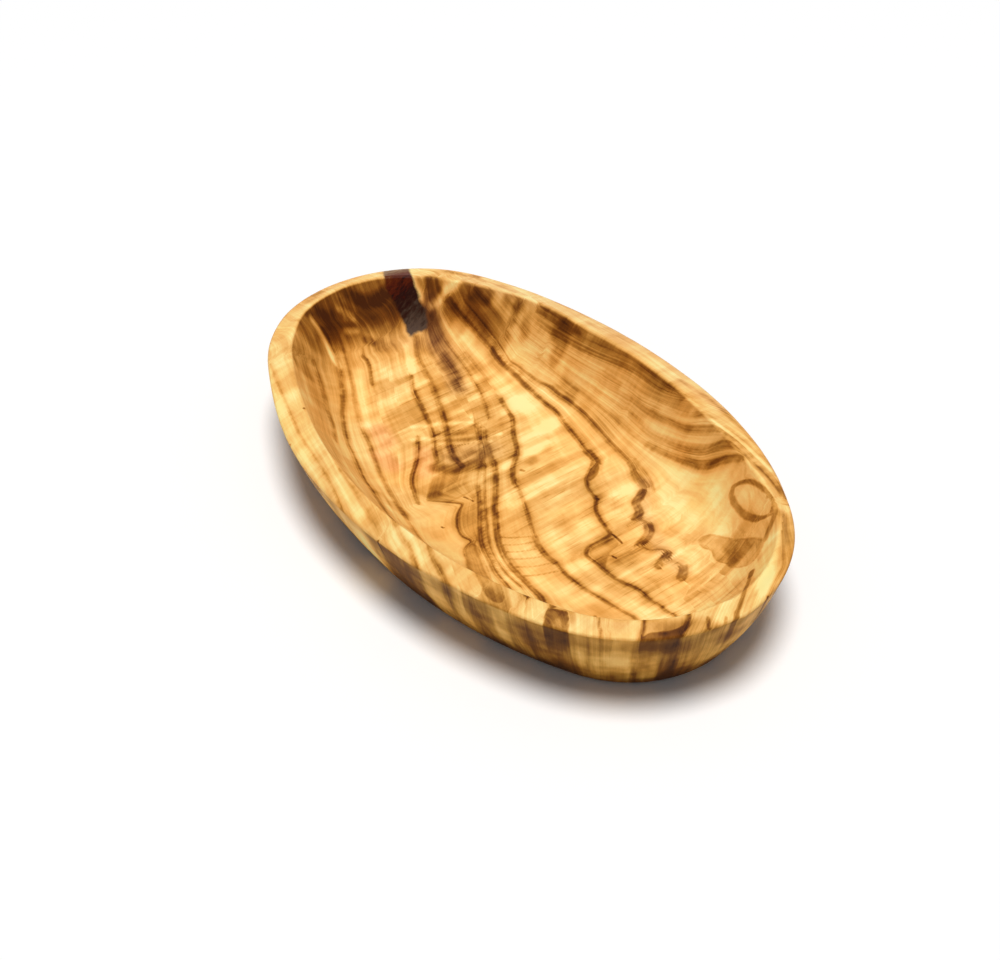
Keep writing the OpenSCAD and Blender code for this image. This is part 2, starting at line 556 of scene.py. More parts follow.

# %% [markdown]
# ## The veins
#
# The dark lines are listed from the near side to the far side, which is also the order in which the
# tree laid them down. Each has one or more runs, and a run has half its thickness in millimetres, its
# darkness and the pixels that it passes through. They could be painted on an image, but an image is as
# sharp as its pixels. A distance to a path stays sharp however near the camera comes.

# %% Follow the veins on the photograph
veins = {
    "rim thread": [
        (0.15, 0.5, [(270, 365), (277, 382), (292, 418), (302, 439), (318, 462), (335, 490), (349, 518)]),
    ],
    "rim edge": [
        (0.35, 0.28, [(340, 470), (352, 487), (362, 503), (371, 518), (380, 535)]),
    ],
    "left wall": [
        (0.5, 0.5, [(314, 362), (321, 383), (325, 398), (328, 412), (333, 425), (335, 440)]),
    ],
    "left bend": [
        (0.4, 0.55, [(313, 318), (326, 333), (333, 350), (338, 362), (341, 380)]),
        (0.4, 0.6, [
            (341, 380), (343, 396), (342, 413), (346, 440), (354, 457), (364, 480), (372, 490), (380, 503),
            (390, 517), (400, 535), (410, 550), (420, 570), (430, 586),
        ]),
    ],
    "left sweep": [
        (0.6, 0.35, [(345, 352), (352, 380), (356, 405), (362, 428)]),
        (0.42, 0.58, [
            (362, 428), (370, 445), (376, 462), (382, 478), (391, 494), (398, 505), (408, 520), (422, 540),
            (430, 553), (440, 570), (450, 586), (458, 600),
        ]),
    ],
    "corner mark": [
        (0.4, 0.6, [(363, 357), (368, 362), (370, 372), (372, 384)]),
    ],
    "hook": [
        (0.42, 0.76, [(418, 437), (418, 452), (417, 462), (413, 472), (411, 482), (414, 492), (418, 503)]),
    ],
    "wave": [
        (0.5, 0.6, [
            (411, 376), (413, 392), (419, 402), (424, 412), (429, 423), (434, 437), (434, 450), (437, 460),
        ]),
        (0.08, 0.7, [
            (426, 501), (440, 502), (455, 503), (463, 504), (458, 511), (456, 521), (458, 532), (464, 538),
            (473, 541), (465, 546), (463, 553), (467, 561), (467, 567), (476, 575), (484, 588),
        ]),
    ],
    "shoulder": [
        (0.7, 0.42, [(416, 338), (417, 352), (421, 365), (430, 380), (437, 398), (442, 412)]),
        (0.6, 0.66, [(442, 412), (447, 430), (449, 445), (453, 457), (462, 466)]),
    ],
    "ladder": [
        (0.5, 0.4, [(476, 425), (480, 440), (482, 455), (480, 470), (478, 485)]),
        (0.5, 0.75, [
            (478, 485), (480, 505), (480, 520), (480, 538), (484, 550), (490, 560), (494, 570), (500, 578),
            (508, 586), (527, 596),
        ]),
    ],
    "ladder second": [
        (0.3, 0.55, [
            (485, 466), (484, 485), (485, 505), (486, 525), (489, 545), (494, 556), (501, 567), (509, 577),
            (520, 586),
        ]),
    ],
    "ladder edge": [
        (0.3, 0.4, [(446, 343), (460, 360), (470, 375), (479, 391), (485, 403), (488, 417)]),
        (0.5, 0.38, [(485, 431), (485, 439), (489, 449), (493, 462)]),
        (0.6, 0.75, [
            (494, 462), (496, 475), (496, 490), (495, 505), (496, 520), (497, 535), (501, 550), (506, 560),
            (513, 569), (521, 577), (535, 591), (543, 599), (553, 606),
        ]),
    ],
    "middle": [
        (0.8, 0.25, [(466, 355), (480, 372), (490, 385), (500, 398)]),
        (0.5, 0.8, [
            (500, 398), (507, 410), (513, 418), (513, 430), (515, 441), (518, 454), (513, 465), (513, 476),
            (514, 483),
        ]),
        (0.4, 0.52, [(514, 483), (519, 490), (524, 502), (529, 520), (534, 535)]),
        (0.6, 0.85, [(534, 535), (539, 547), (546, 556), (557, 564)]),
        (0.35, 0.66, [
            (557, 564), (566, 575), (585, 590), (600, 598), (622, 611), (640, 619), (644, 626), (640, 638),
            (637, 652),
        ]),
    ],
    "zigzag": [
        (0.45, 0.55, [(447, 298), (461, 316), (472, 328), (481, 338), (491, 348)]),
        (0.55, 0.75, [
            (491, 348), (500, 362), (512, 372), (522, 382), (535, 395), (546, 404), (557, 412), (563, 422),
            (571, 431), (578, 440), (586, 450),
        ]),
        (0.9, 0.9, [(586, 450), (593, 457), (597, 463)]),
        (0.35, 0.8, [
            (597, 463), (591, 468), (587, 476), (586, 483), (590, 492), (597, 498), (595, 507), (598, 516),
            (605, 527), (612, 534), (604, 539), (596, 543), (588, 547), (585, 555), (592, 560), (600, 566),
            (610, 575), (620, 581), (640, 590), (647, 597), (662, 607), (667, 612), (676, 615), (690, 616),
            (686, 626), (676, 640), (670, 656),
        ]),
    ],
    "ribbon": [
        (0.2, 0.35, [(464, 302), (478, 318), (487, 330), (500, 345), (510, 362)]),
        (0.5, 0.6, [(510, 362), (520, 368), (530, 377), (540, 383), (549, 387)]),
        (0.7, 0.62, [(549, 387), (558, 395), (566, 399), (573, 405)]),
        (0.55, 0.42, [(573, 405), (581, 411), (591, 421), (601, 433), (618, 451), (630, 462)]),
        (0.7, 0.5, [(630, 462), (633, 469), (634, 476), (644, 489)]),
        (0.95, 0.9, [(644, 489), (640, 497), (635, 503), (639, 509), (640, 514), (634, 521)]),
        (0.3, 0.5, [(634, 521), (626, 527), (634, 523), (641, 519), (647, 523)]),
        (1.05, 0.95, [(647, 523), (650, 530), (648, 536), (643, 541), (639, 545)]),
        (0.3, 0.4, [(639, 545), (650, 552), (660, 549), (668, 551)]),
        (1.05, 0.95, [(668, 551), (666, 558), (659, 566)]),
        (0.3, 0.45, [(659, 566), (670, 560), (682, 565)]),
        (1.0, 0.8, [(682, 565), (684, 572), (681, 578)]),
    ],
    "ribbon edge": [
        (0.38, 0.32, [(635, 460), (643, 470), (651, 481), (653, 488)]),
    ],
    "far thread": [
        (0.4, 0.3, [(540, 357), (570, 383), (590, 398), (610, 413), (620, 423), (630, 432), (645, 443)]),
        (0.6, 0.5, [
            (645, 443), (662, 452), (685, 460), (695, 464), (705, 466), (715, 464), (725, 459), (742, 457),
        ]),
    ],
    "second scallop": [
        (0.4, 0.35, [
            (630, 415), (652, 436), (663, 440), (680, 447), (690, 450), (705, 451), (720, 443), (731, 443),
        ]),
        (0.3, 0.5, [(731, 443), (750, 460), (763, 472), (772, 482), (781, 495)]),
    ],
    "third scallop": [
        (0.45, 0.24, [(632, 397), (645, 408), (660, 415), (672, 421), (686, 428), (700, 428), (718, 428)]),
        (0.3, 0.5, [(718, 428), (738, 442), (752, 456), (765, 468), (777, 481), (785, 493)]),
    ],
    "fourth scallop": [
        (0.4, 0.26, [(605, 372), (628, 386), (640, 397), (655, 403), (680, 414), (690, 417), (708, 415)]),
        (0.3, 0.3, [(708, 415), (730, 430), (745, 441), (757, 452), (768, 464)]),
    ],
    "far lines": [
        (0.4, 0.28, [
            (520, 305), (545, 328), (580, 347), (600, 356), (620, 363), (640, 373), (668, 393), (700, 404),
        ]),
    ],
    "far band": [
        (0.9, 0.5, [(540, 307), (552, 314), (563, 323), (573, 331), (585, 339)]),
        (0.7, 0.3, [(585, 339), (600, 346), (628, 358), (640, 366), (650, 375), (670, 388), (684, 396)]),
    ],
}
print(len(veins), "veins with", sum(len(runs) for runs in veins.values()), "runs")

# %% Work out each vertex's distance to the veins
column_count = 641
least_step = 1e-5
column_x = np.linspace(-dish_length / 2, dish_length / 2, column_count) / MM
vein_reach = np.full(len(vertex_plan), far_off)
vein_half = np.zeros(len(vertex_plan))
vein_darkness = np.zeros(len(vertex_plan))
levels = np.full((len(veins), column_count), np.nan)
for number, runs in enumerate(veins.values()):
    whole = []
    for half, darkness, pixels in runs:
        path = eased(plan_of(pixels))
        reach = distance_to(path, vertex_plan)
        nearer = reach < vein_reach
        vein_reach[nearer] = reach[nearer]
        vein_half[nearer] = half
        vein_darkness[nearer] = darkness
        whole.append(path)
    whole = np.vstack(whole)
    whole[:, 0] = np.maximum.accumulate(whole[:, 0] + np.arange(len(whole)) * least_step)
    levels[number] = np.interp(column_x, whole[:, 0], whole[:, 1], left=np.nan, right=np.nan)
print(np.count_nonzero(vein_reach < vein_half), "vertices lie in a vein")

# %% [markdown]
# ## The rings between the veins
#
# A vein ends where the saw leaves its ring, but the ring goes on. To tell on which ring a vertex lies,
# each vein is carried on past its ends, between its neighbours. Between one vein and the next the
# distance then gets one sign, and past the next vein the other. So it passes smoothly through zero at
# each vein, and a thin line stays sharp on a mesh of small faces.

# %% Let each vein run on between its neighbours past its ends
ring_spacing = 5.0
settle_length = 10.0
least_gap = 1e-4
between = np.full_like(levels, np.nan)
for column in range(column_count):
    known = np.flatnonzero(~np.isnan(levels[:, column]))
    if len(known):
        low = levels[known[0], column] - ring_spacing * len(veins)
        high = levels[known[-1], column] + ring_spacing * len(veins)
        marked = np.concatenate([[known[0] - len(veins)], known, [known[-1] + len(veins)]])
        marked_levels = np.concatenate([[low], levels[known, column], [high]])
        between[:, column] = np.interp(np.arange(len(veins)), marked, marked_levels)
good = ~np.isnan(between[0])
for number in range(len(veins)):
    between[number] = np.interp(column_x, column_x[good], between[number, good])
    known = np.flatnonzero(~np.isnan(levels[number]))
    first, last = known[0], known[-1]
    extended = between[number].copy()
    for end, past, side in ((first, first - 1, slice(0, first)), (last, last + 1, slice(last + 1, None))):
        inside_plan = 0 < end < column_count - 1
        step = levels[number, end] - between[number, past] if inside_plan else 0.0
        apart = np.abs(column_x[side] - column_x[end])
        extended[side] += step * np.exp(-apart / settle_length)
    extended[known] = levels[number, known]
    levels[number] = extended
levels = np.maximum.accumulate(levels + np.arange(len(veins))[:, None] * least_gap, axis=0)
print("The veins lie between", round(levels.min(), 1), "and", round(levels.max(), 1), "mm across")

# %% Number the rings and sign the distances
least_ring = 0.05
heights = np.array([np.interp(vertex_plan[:, 0], column_x, level) for level in levels])
passed = (vertex_plan[:, 1] > heights).sum(axis=0)
vein_side = np.where(passed % 2, vein_reach, -vein_reach)
bounds = np.vstack([heights[:1] - ring_spacing, heights, heights[-1:] + ring_spacing])
vertex_numbers = np.arange(len(vertex_plan))
below, above = bounds[passed, vertex_numbers], bounds[passed + 1, vertex_numbers]
ring = passed + (vertex_plan[:, 1] - below) / np.maximum(above - below, least_ring)
print("The rings run from", round(ring.min(), 1), "to", round(ring.max(), 1))

# %% [markdown]
# ## Patches and short strokes
#
# Near the right end there is a ring round the foot of a small branch, with a brown patch beside it, and
# short dark strokes lie all over the dish. They have a clear edge, so each vertex keeps its distance to
# that edge and the material draws it, as it draws the veins. Colours painted onto the vertices would
# blur there.

# %% Patches and strokes with a clear edge
# Each has half its thickness in millimetres, or 0 for a filled outline, its darkness and its pixels.
brown_patch = [
    (698, 540), (703, 536), (713, 534), (722, 537), (735, 540), (746, 539), (757, 538), (764, 540),
    (763, 547), (752, 564), (740, 567), (730, 567), (727, 563), (715, 560), (712, 549), (702, 548),
]
scallop_patch = [
    (470, 542), (464, 548), (466, 560), (473, 572), (480, 582), (485, 597), (500, 605), (506, 598),
    (500, 585), (491, 573), (482, 557), (478, 545),
]
corner_patch = [
    (611, 537), (600, 542), (588, 551), (590, 556), (600, 563), (605, 571), (607, 561), (610, 552),
    (620, 545), (617, 540),
]
ribbon_patch = [
    (632, 465), (640, 474), (648, 482), (652, 487), (645, 489), (636, 482), (631, 473),
]
marks = [
    (0.62, 0.42, [(758, 519), (748, 517), (740, 511), (734, 503), (731, 495), (733, 487)]),
    (0.45, 0.5, [(733, 487), (741, 482), (750, 481), (757, 484)]),
    (0.45, 0.5, [(757, 484), (764, 489), (771, 496), (774, 503), (772, 511), (768, 516), (758, 519)]),
    (0.6, 0.35, [(775, 503), (776, 511), (773, 520), (769, 529), (765, 540)]),
    (0.25, 0.4, [(767, 497), (775, 501), (788, 505)]),
    (0.0, 0.25, brown_patch),
    (0.2, 0.42, brown_patch + brown_patch[:1]),
    (0.6, 0.65, [(752, 571), (750, 577)]),
    (0.45, 0.5, [(750, 577), (745, 590), (741, 603), (737, 613)]),
    (0.65, 0.55, [(737, 613), (735, 628)]),
    (0.35, 0.7, [(612, 534), (617, 538), (622, 543)]),
    (0.5, 0.75, [(596, 499), (598, 499)]),
    (0.0, 0.42, [
        (592, 457), (598, 462), (600, 468), (597, 476), (591, 481), (587, 481), (588, 472), (590, 464),
    ]),
    (0.0, 0.27, corner_patch),
    (0.0, 0.3, ribbon_patch),
    (0.25, 0.7, [(464, 497), (473, 501)]),
    (0.25, 0.9, [(612, 556), (616, 558)]),
    (0.4, 0.5, [(521, 470), (524, 471)]),
    (0.3, 0.95, [(442, 527), (444, 528)]),
    (0.3, 0.8, [(304, 408), (305, 409)]),
    (0.25, 0.6, [(346, 516), (352, 527)]),
    (0.3, 0.8, [(371, 537), (378, 541)]),
    (0.35, 0.6, [(287, 440), (290, 444)]),
    (0.3, 0.7, [(768, 596), (769, 602)]),
    (0.35, 0.5, [(502, 611), (510, 614)]),
    (0.3, 0.5, [(415, 564), (419, 571)]),
    (0.0, 0.65, [(544, 607), (557, 609), (571, 612), (566, 640), (540, 644)]),
    (0.0, 0.55, [(644, 633), (664, 632), (679, 628), (688, 622), (681, 634), (676, 643), (638, 643)]),
    (0.25, 0.6, [(644, 620), (643, 630), (639, 641)]),
    (0.3, 0.6, [(690, 617), (688, 625), (681, 633), (677, 641)]),
    (0.4, 0.4, [(708, 618), (709, 629)]),
    (0.4, 0.4, [(726, 618), (727, 630)]),
    (0.42, 0.4, [(595, 616), (598, 625), (602, 633), (600, 641), (592, 655)]),
    (0.0, 0.32, scallop_patch),
    (0.25, 0.35, [(498, 537), (515, 538), (534, 536)]),
    (0.25, 0.3, [(501, 545), (518, 545), (538, 541)]),
    (0.25, 0.35, [(504, 552), (520, 552), (541, 548)]),
    (0.25, 0.3, [(508, 559), (526, 559), (546, 556)]),
    (0.25, 0.3, [(514, 567), (532, 567), (552, 563)]),
    (0.25, 0.35, [(522, 576), (540, 575), (558, 571)]),
    (0.25, 0.35, [(445, 447), (468, 444), (490, 440)]),
    (0.25, 0.3, [(440, 432), (462, 430), (484, 427)]),
]
print(len(marks), "patches and strokes")

# %% Work out each vertex's distance to their edges
patch_depth = 0.35
mark_edge = np.full(len(vertex_plan), np.inf)
mark_darkness = np.zeros(len(vertex_plan))
for half, darkness, pixels in marks:
    filled = half == 0.0
    path = eased(plan_of(pixels), closed=filled)
    edge = distance_to(path, vertex_plan, closed=filled) - half
    if filled:
        edge = np.where(inside_of(path, vertex_plan), -np.minimum(edge, patch_depth), edge)
    nearer = edge < mark_edge
    mark_edge[nearer] = edge[nearer]
    mark_darkness[nearer] = darkness
print(np.count_nonzero(mark_edge < 0), "vertices lie in a patch or a stroke")

# %% [markdown]
# ## The black knot
#
# A branch that died leaves a knot, here a black one across the far rim. It could be a piece of its own,
# but on the real dish it is cut level with the wood. So it is a patch too, with two numbers: how far a
# vertex is from its edge, and how far down the knot it lies, because the knot turns from brown through
# red and black to grey. Outside it tapers off towards the foot.

# %% The knot's outline and its length
knot_outline = [
    (382, 258), (407, 256), (412, 277), (415, 286), (419, 297), (424, 306), (427, 316), (427, 327),
    (423, 331), (416, 332), (411, 337), (408, 335), (404, 324), (399, 313), (395, 303), (390, 295),
    (386, 288), (384, 278),
]
knot_taper, knot_outside = 0.13, 0.3
knot_top, knot_foot = plan_of([(397, 270), (418, 336)])
knot_path = eased(plan_of(knot_outline), closed=True)
knot_edge = distance_to(knot_path, vertex_plan, closed=True)
knot_edge = np.where(inside_of(knot_path, vertex_plan), -knot_edge, knot_edge)
below_rim = dish_height / MM - vertex_height / MM
knot_edge = np.where(faces_up, knot_edge, knot_edge + knot_taper * below_rim)
knot_run = knot_foot - knot_top
knot_along = (vertex_plan - knot_top) @ knot_run / (knot_run @ knot_run)
knot_along = np.where(faces_up, knot_along, knot_outside)
print("The knot is", round(math.hypot(*knot_run), 1), "mm long in plan")

# %% [markdown]
# ## Soft stains
#
# Oils and minerals stain the wood beside the veins and the knots. Stains have no edge, so their
# darkness is laid straight onto the vertices, as with a soft brush. A pale streak has a darkness below
# zero. A few strokes are no stains: they are painted shade and painted highlights, each marked in its
# list, and the hollow's walls get some painted shade too. The rim is cut at another level than the wall,
# so the stains of the hollow stop at its edge, and the outside has stains of its own.

# %% Tell the rim, the wall and the outside apart
rim_upright, rim_low = 0.8, 20 * MM
rim_sure, rim_unsure = -0.1, 0.05
wall_foot, wall_fade = 16.0, 7.0
base_paleness, base_fade = 0.3, 5.0
on_rim = fade(rim_upright - vertex_upward, rim_sure, rim_unsure) * (vertex_height > rim_low)
in_hollow = faces_up - on_rim
on_wall = fade(vertex_inset, wall_foot - wall_fade, wall_foot) * in_hollow
towards_base = fade(vertex_inset, foot_inset, foot_inset + base_fade)
outside = (1.0 - faces_up) * (base_paleness + (1 - base_paleness) * towards_base)
for part, share in {"rim": on_rim, "wall": on_wall, "outside": outside}.items():
    print(np.count_nonzero(share > 0.5), "vertices belong to the", part)

# %% Stains of the hollow
# Each has half its thickness and the softness of its edge in millimetres, its darkness and its pixels.
knot_smear = [(427, 312), (436, 335), (441, 350), (449, 365), (459, 388)]
hollow_stains_and_painted_light = [
    (4.5, 3.0, 0.38, [(304, 322), (320, 306), (345, 297), (372, 296), (388, 292)]),
    (2.8, 2.8, 0.17, [(333, 337), (345, 325), (370, 318), (397, 316)]),
    (0.9, 0.9, 0.25, [(340, 288), (352, 297), (372, 303), (384, 293), (390, 287)]),
    (1.2, 1.2, 0.20, [(306, 310), (322, 312), (334, 330), (340, 345)]),
    (0.5, 0.7, -0.30, [(338, 309), (346, 313), (353, 317)]),
    (0.45, 0.6, -0.25, [(345, 319), (356, 322)]),
    (0.45, 0.6, -0.25, [(345, 331), (358, 330)]),
    (0.7, 0.8, -0.40, [(313, 320), (325, 340), (338, 365)]),
    (0.8, 0.8, 0.25, [(366, 340), (372, 342)]),
    (2.0, 2.0, 0.24, [(295, 340), (300, 358), (303, 368)]),
    (2.5, 3.0, 0.10, [(312, 352), (330, 364), (345, 370)]),
    (2.2, 2.5, 0.05, [(330, 385), (340, 392)]),
    (2.2, 2.0, 0.11, [(452, 302), (466, 318), (480, 332)]),
    (2.5, 2.5, 0.08, [(446, 420), (470, 430), (482, 450)]),
    (2.5, 2.5, 0.06, [(455, 515), (470, 530), (474, 545)]),
    (1.6, 1.6, 0.04, [(660, 446), (690, 455), (715, 456)]),
    (0.5, 0.6, -0.15, [(622, 388), (645, 403), (668, 412), (690, 422), (708, 422)]),
    (0.6, 0.7, -0.13, [(645, 421), (668, 433), (690, 440), (706, 440), (722, 435)]),
    (0.5, 0.6, -0.12, [(670, 453), (690, 458), (708, 459), (722, 452), (732, 451)]),
    (1.5, 1.8, -0.16, [(655, 539), (664, 541), (674, 545)]),
    (3.5, 3.0, 0.03, [(312, 345), (318, 380), (325, 410), (332, 438), (345, 466), (357, 487)]),
    (2.2, 1.5, 0.28, [(474, 306), (485, 318), (495, 332), (501, 339)]),
    (1.4, 1.6, 0.16, [(545, 309), (585, 340), (628, 358), (660, 381), (690, 401)]),
    (3.0, 4.0, 0.06, [(565, 345), (600, 365), (640, 392), (670, 408), (700, 420)]),
    (1.6, 1.2, 0.24, [(558, 330), (563, 343), (556, 356)]),
    (0.9, 1.0, 0.25, [(517, 307), (513, 320)]),
    (1.0, 1.0, 0.20, [(526, 323), (525, 333)]),
    (1.2, 1.2, 0.28, [(509, 297), (521, 304)]),
    (2.5, 2.5, 0.06, [(690, 435), (705, 442), (722, 446)]),
    (1.4, 1.2, 0.12, [(700, 460), (715, 458), (728, 450)]),
    (1.2, 1.0, 0.12, [(700, 412), (708, 415)]),
    (2.5, 2.5, 0.10, [(712, 590), (740, 585)]),
    (1.0, 0.9, 0.20, [(722, 540), (731, 549), (735, 560)]),
    (0.9, 0.8, 0.07, [(582, 410), (600, 428), (618, 446), (634, 463), (643, 476), (648, 486)]),
    (0.8, 0.8, 0.15, [(634, 466), (642, 480)]),
    (2.5, 3.0, 0.16, [(440, 484), (462, 480)]),
    (1.6, 1.5, 0.30, [(426, 309), (432, 322), (437, 336)]),
    (1.8, 2.2, 0.30, knot_smear),
    (1.0, 1.2, 0.20, [(444, 356), (452, 372)]),
    (1.0, 1.2, 0.20, [(457, 379), (460, 389)]),
    (2.2, 2.2, 0.34, [(448, 452), (460, 456), (474, 456)]),
    (1.3, 1.8, 0.44, [(436, 468), (448, 469), (462, 468), (476, 465)]),
    (2.0, 2.2, 0.14, [(438, 437), (456, 438), (474, 438)]),
    (1.4, 1.5, 0.22, [(484, 438), (491, 436)]),
    (2.5, 2.5, 0.16, [(434, 494), (452, 493), (468, 491)]),
    (2.5, 2.5, 0.15, [(352, 334), (370, 331), (386, 326)]),
    (3.0, 3.5, 0.13, [(345, 350), (370, 352), (396, 350)]),
    (1.2, 1.2, 0.07, [(487, 445), (488, 500), (489, 530), (494, 552)]),
    (2.2, 1.5, 0.10, [(467, 508), (466, 522), (471, 536)]),
    (0.9, 1.0, 0.30, [(430, 496), (437, 494)]),
    (0.8, 1.0, 0.18, [(422, 460), (416, 476), (419, 492)]),
    # Partly pale figure and partly painted highlight: the bright band across the middle of the floor.
    (1.5, 2.0, -0.22, [(522, 440), (542, 430), (558, 421)]),
    (0.8, 1.2, -0.20, [(505, 466), (530, 452), (546, 442)]),
    (0.5, 0.7, -0.22, [(413, 427), (440, 424), (470, 422)]),
    (0.5, 0.7, -0.22, [(414, 440), (455, 437), (500, 434)]),
    (0.4, 0.6, -0.18, [(440, 444), (490, 441)]),
    (1.2, 1.5, -0.20, [(457, 329), (472, 341), (486, 358)]),
    (2.0, 2.5, -0.16, [(497, 385), (512, 394), (530, 411)]),
    (1.0, 1.5, -0.20, [(358, 372), (362, 400), (366, 425)]),
    (0.8, 1.0, -0.20, [(407, 346), (412, 370), (414, 388)]),
    (2.5, 3.0, -0.12, [(664, 468), (670, 492), (692, 525)]),
    (2.0, 3.0, -0.12, [(520, 580), (560, 590), (614, 601)]),
    (2.2, 2.5, -0.14, [(720, 484), (721, 515)]),
    (2.2, 2.5, -0.14, [(538, 500), (545, 512), (554, 502)]),
    (1.5, 1.6, -0.12, [(424, 382), (430, 396)]),
    (1.5, 1.6, -0.12, [(508, 408), (513, 424)]),
    (1.4, 1.4, 0.26, [(449, 308), (455, 319), (460, 328)]),
    (1.6, 1.6, 0.22, [(322, 309), (334, 302)]),
    (1.8, 2.0, 0.18, [(648, 600), (666, 598)]),
    (1.6, 1.8, 0.16, [(604, 500), (613, 503)]),
    (1.4, 1.5, 0.16, [(450, 417), (461, 417)]),
    (1.5, 1.5, 0.25, [(520, 458), (530, 460)]),
    (1.5, 1.5, 0.15, [(380, 346), (391, 348)]),
    (1.5, 1.5, 0.15, [(422, 345), (431, 350)]),
    (1.2, 1.2, 0.17, [(478, 290), (490, 294)]),
    (1.5, 1.5, 0.14, [(672, 457), (686, 461)]),
    (1.4, 1.6, 0.12, [(649, 484), (652, 505)]),
    (2.2, 2.5, 0.12, [(660, 586), (680, 586), (708, 584)]),
    (1.4, 1.5, 0.13, [(592, 511), (598, 520)]),
    (1.4, 1.5, 0.12, [(422, 429), (432, 433)]),
    (1.4, 1.5, 0.13, [(493, 356), (501, 366)]),
    (1.4, 1.5, 0.13, [(562, 386), (572, 393)]),
    (1.6, 1.8, 0.11, [(562, 528), (572, 531)]),
    (1.4, 1.5, 0.13, [(437, 458), (446, 460)]),
    (1.4, 1.5, -0.12, [(547, 357), (560, 366)]),
    (1.4, 1.5, -0.12, [(436, 443), (446, 447)]),
    (1.4, 1.5, -0.12, [(590, 568), (598, 575)]),
    (1.4, 1.5, 0.14, [(492, 303), (502, 308)]),
    (1.2, 1.2, 0.14, [(534, 303), (545, 308)]),
    (1.3, 1.4, 0.14, [(479, 344), (488, 351)]),
    (1.5, 1.5, 0.13, [(603, 556), (614, 559)]),
]
print(len(hollow_stains_and_painted_light), "stains in the hollow")

# %% Stains of the rim and the outside
rim_stains_and_painted_light = [
    # Painted shade: the dark band along the far rim's inner edge.
    (1.2, 1.2, 0.30, [(464, 288), (474, 291), (486, 297)]),
    (1.2, 1.2, 0.32, [(430, 282), (440, 283), (435, 292)]),
    (1.0, 1.2, 0.16, [(376, 492), (390, 503), (404, 514)]),
    (0.5, 0.8, -0.25, [(413, 283), (420, 297), (429, 308)]),
    (0.7, 0.9, -0.25, [(432, 305), (445, 293), (457, 283)]),
    # Painted highlight: the pale band along the right end's inner rim edge.
    (1.2, 1.5, -0.18, [(771, 540), (766, 570), (762, 588)]),
    (0.6, 0.8, 0.26, [(448, 268), (462, 272), (478, 277)]),
    (0.5, 0.6, 0.18, [(478, 279), (497, 285), (515, 292)]),
    (0.5, 0.6, 0.12, [(600, 310), (640, 332), (680, 360)]),
    (1.0, 1.5, -0.16, [(400, 530), (412, 548), (420, 558)]),
    (1.6, 1.8, -0.16, [(338, 480), (348, 495), (360, 508)]),
    (1.4, 1.5, 0.3, [(662, 629), (680, 629), (695, 627), (710, 627), (724, 627)]),
    (1.0, 1.2, 0.20, [(566, 611), (569, 619)]),
    (1.8, 1.5, 0.22, [(488, 597), (497, 603), (502, 612)]),
    (1.0, 1.2, 0.14, [(283, 338), (287, 347), (289, 356)]),
    (0.6, 0.7, -0.15, [(714, 420), (735, 438), (755, 455), (770, 470)]),
    (0.5, 0.6, 0.20, [(680, 380), (705, 395), (728, 411), (748, 430), (765, 450), (778, 470)]),
    (0.6, 0.7, 0.16, [(757, 466), (772, 480), (785, 496)]),
    (0.7, 0.8, 0.14, [(560, 298), (600, 316), (640, 338), (670, 358)]),
    (3.0, 3.0, -0.10, [(274, 372), (280, 400), (290, 425), (308, 455)]),
    (1.2, 1.6, 0.24, [(783, 516), (789, 540), (787, 565), (776, 592)]),
    (1.5, 2.0, 0.18, [(305, 302), (322, 291), (336, 284)]),
    (1.2, 1.2, 0.20, [(420, 281), (427, 286), (436, 290)]),
]
outer_stains_and_painted_light = [
    # Painted light: a pale strip lightens the shaded wall just below the rim on the left.
    (2.2, 2.0, -0.3, [(312, 486), (330, 508), (348, 529), (362, 543), (374, 553)]),
    (2.6, 1.2, 0.16, [(392, 562), (405, 570), (414, 578)]),
    (1.6, 1.2, -0.20, [(424, 584), (438, 591)]),
    (1.8, 1.2, -0.12, [(458, 602), (466, 609)]),
    (2.6, 1.0, 0.26, [(476, 614), (487, 626)]),
    (2.4, 2.0, -0.06, [(498, 630), (512, 634)]),
    (0.7, 0.8, 0.18, [(514, 640), (524, 638), (532, 643)]),
    (2.2, 1.6, -0.02, [(522, 644), (532, 650)]),
    (2.6, 2.0, 0.2, [(540, 650), (566, 660)]),
    (2.4, 4.5, -0.11, [(594, 656), (626, 658)]),
    (3.0, 3.5, 0.02, [(648, 658), (664, 658)]),
    # Painted shade: a darker patch on the right of the outside.
    (3.0, 3.0, 0.14, [(682, 650), (703, 645)]),
    (0.2, 0.5, 0.26, [(632, 660), (633, 676)]),
    (0.2, 0.5, 0.22, [(660, 662), (659, 676)]),
    (0.2, 0.5, 0.20, [(589, 650), (588, 666)]),
]
print(len(rim_stains_and_painted_light), "stains on the rim and", len(outer_stains_and_painted_light), "outside")


# %% Lay the stains onto the vertices
def brushed(path, half, softness):
    """How strongly a soft brush led along a path touches each vertex."""
    return fade(distance_to(path, vertex_plan), half - softness / 2, half + softness)


# The hollow's walls are darkened, partly for their browner wood and partly as painted shade; the rim is
# made a little paler.
rim_paleness, wall_brown_and_shade = 0.02, 0.06
tone = wall_brown_and_shade * on_wall - rim_paleness * on_rim
for stains, where in ((hollow_stains_and_painted_light, in_hollow), (rim_stains_and_painted_light, faces_up)):
    for half, softness, darkness, pixels in stains:
        tone += darkness * brushed(eased(plan_of(pixels)), half, softness) * where
for half, softness, darkness, pixels in outer_stains_and_painted_light:
    tone += darkness * brushed(at_rim(plan_of(pixels, outer_wall=True)), half, softness) * outside
print("The stains' tone runs from", round(tone.min(), 2), "to", round(tone.max(), 2))

